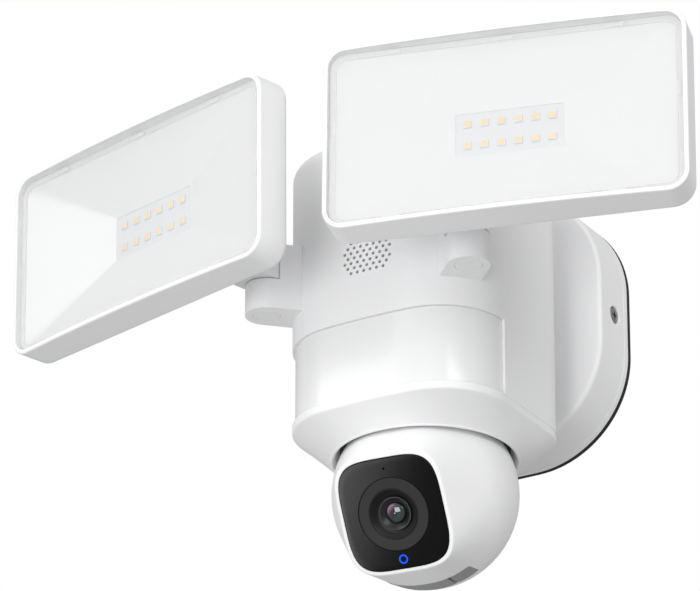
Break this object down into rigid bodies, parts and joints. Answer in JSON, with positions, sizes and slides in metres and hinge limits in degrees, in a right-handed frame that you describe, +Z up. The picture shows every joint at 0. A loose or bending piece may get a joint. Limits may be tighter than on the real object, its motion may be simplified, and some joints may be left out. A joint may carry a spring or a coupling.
{
  "type": "floodlight security camera",
  "caption": "Wall-mounted floodlight camera: a canopy and body with swivelling LED lamp panels, a curved motion-sensor window and a panning, tilting camera ball below.",
  "frame": {"origin": "centre of the canopy on the wall plane, midway between the two box screws", "axes": "+Z up along the wall, -Y out of the wall towards the front, +X to the viewer's right"},
  "size_m": [0.3267, 0.1864, 0.1996],
  "materials": {
    "white_plastic": "satin",
    "white_gloss": "gloss",
    "black_foam": "matte foam",
    "zinc_steel": "zinc plated",
    "green_steel": "green ground screw",
    "dark_steel": "satin",
    "cream_plastic": "satin",
    "black_rubber": "matte",
    "board_green": "solder mask",
    "winding_tape": "tape",
    "sleeve_blue": "gloss",
    "sensor_can": "satin",
    "speaker_black": "matte",
    "grey_mesh": "woven",
    "recess_grey": "satin",
    "motor_steel": "satin",
    "gear_nylon": "satin",
    "yoke_grey": "satin",
    "face_black": "high gloss",
    "ring_grey": "satin",
    "hood_black": "matte",
    "barrel_black": "semi gloss",
    "lens_glass": "coated",
    "ring_blue": "lit",
    "flap_grey": "matte",
    "diffuser_clear": "clear, slightly frosted",
    "reflector_white": "satin",
    "led_board": "white board with warm LEDs"
  },
  "bodies": {
    "wall_unit": {"wall_gasket": "black_foam", "mounting_bracket": "zinc_steel", "ground_screw": "green_steel", "canopy_base": "white_plastic", "canopy_shell": "white_plastic", "canopy_side_screws": "dark_steel", "supply_connector": "cream_plastic", "wire_grommet": "black_rubber", "power_board": "board_green", "transformer": "winding_tape", "capacitors": "sleeve_blue", "body_neck": "white_plastic", "body_front_shell": "white_plastic", "body_rear_cover": "white_plastic", "sensor_window": "white_gloss", "motion_sensors": "sensor_can", "sensor_board": "board_green", "speaker": "speaker_black", "speaker_mesh": "grey_mesh", "main_board": "board_green", "bottom_collar": "white_plastic", "recess_cup": "recess_grey", "pan_motor": "motor_steel", "left_knuckle": "white_plastic", "right_knuckle": "white_plastic", "knuckle_plugs": "white_plastic", "swivel_pins": "dark_steel"},
    "left_arm": {"left_foot": "white_plastic"},
    "left_lamp": {"left_bracket": "white_plastic", "left_housing": "white_plastic", "left_diffuser": "diffuser_clear", "left_reflector": "reflector_white", "left_led_board": "led_board", "left_hinge_pin": "dark_steel"},
    "right_arm": {"right_foot": "white_plastic"},
    "right_lamp": {"right_bracket": "white_plastic", "right_housing": "white_plastic", "right_diffuser": "diffuser_clear", "right_reflector": "reflector_white", "right_led_board": "led_board", "right_hinge_pin": "dark_steel"},
    "pan_head": {"pan_yoke": "yoke_grey", "pan_gear": "gear_nylon", "tilt_motor": "motor_steel"},
    "pan_drive": {"pan_pinion": "gear_nylon"},
    "tilt_drive": {"tilt_pinion": "gear_nylon"},
    "ball": {"tilt_gear": "gear_nylon", "tilt_axles": "motor_steel", "ball_front_shell": "white_gloss", "ball_rear_shell": "white_gloss", "face_plate": "face_black", "lens_ring": "ring_grey", "lens_hood": "hood_black", "lens_barrel": "barrel_black", "lens_glass": "lens_glass", "image_board": "board_green", "status_ring": "ring_blue"},
    "flap": {"storage_flap": "flap_grey"},
    "button": {"sync_button": "flap_grey"}
  },
  "joints": [
    {"name": "left_lamp_swivel", "type": "hinge", "parent": "wall_unit", "child": "left_arm", "pos_m": [-0.0491, -0.123, 0], "axis": [0, 0, -1], "range_deg": [-9, 45]},
    {"name": "left_lamp_tilt", "type": "hinge", "parent": "left_arm", "child": "left_lamp", "pos_m": [-0.05484, -0.14537, 0.0035], "axis": [0.9686, -0.2487, 0], "range_deg": [-20, 45]},
    {"name": "right_lamp_swivel", "type": "hinge", "parent": "wall_unit", "child": "right_arm", "pos_m": [0.0491, -0.123, 0], "axis": [0, 0, 1], "range_deg": [-10, 44]},
    {"name": "right_lamp_tilt", "type": "hinge", "parent": "right_arm", "child": "right_lamp", "pos_m": [0.05539, -0.14523, 0.0035], "axis": [0.9622, 0.2723, 0], "range_deg": [-18, 47]},
    {"name": "camera_pan", "type": "hinge", "parent": "wall_unit", "child": "pan_head", "pos_m": [0, -0.0746, -0.09345], "axis": [0, 0, 1], "range_deg": [-174, 174]},
    {"name": "pan_pinion_spin", "type": "hinge", "parent": "wall_unit", "child": "pan_drive", "pos_m": [0, -0.0505, -0.045], "axis": [0, 0, 1], "range_deg": [-700, 700]},
    {"name": "camera_tilt", "type": "hinge", "parent": "pan_head", "child": "ball", "pos_m": [0, -0.0746, -0.09345], "axis": [0.994, 0.1097, 0], "range_deg": [-5, 48]},
    {"name": "tilt_pinion_spin", "type": "hinge", "parent": "pan_head", "child": "tilt_drive", "pos_m": [0, -0.0746, -0.07255], "axis": [0.994, 0.1097, 0], "range_deg": [-162, 18]},
    {"name": "storage_flap_hinge", "type": "hinge", "parent": "ball", "child": "flap", "pos_m": [-0.01994, -0.07167, -0.12759], "axis": [-0.1085, 0.983, 0.1478], "range_deg": [0, 100]},
    {"name": "sync_button_press", "type": "slide", "parent": "ball", "child": "button", "axis": [0.0162, -0.1469, 0.989], "range_m": [0, 0.0008], "stiffness_N_per_m": 800}
  ],
  "couplings": [
    {"joint": "pan_pinion_spin", "follows": "camera_pan", "ratio": -4},
    {"joint": "tilt_pinion_spin", "follows": "camera_tilt", "ratio": -3.3333}
  ]
}
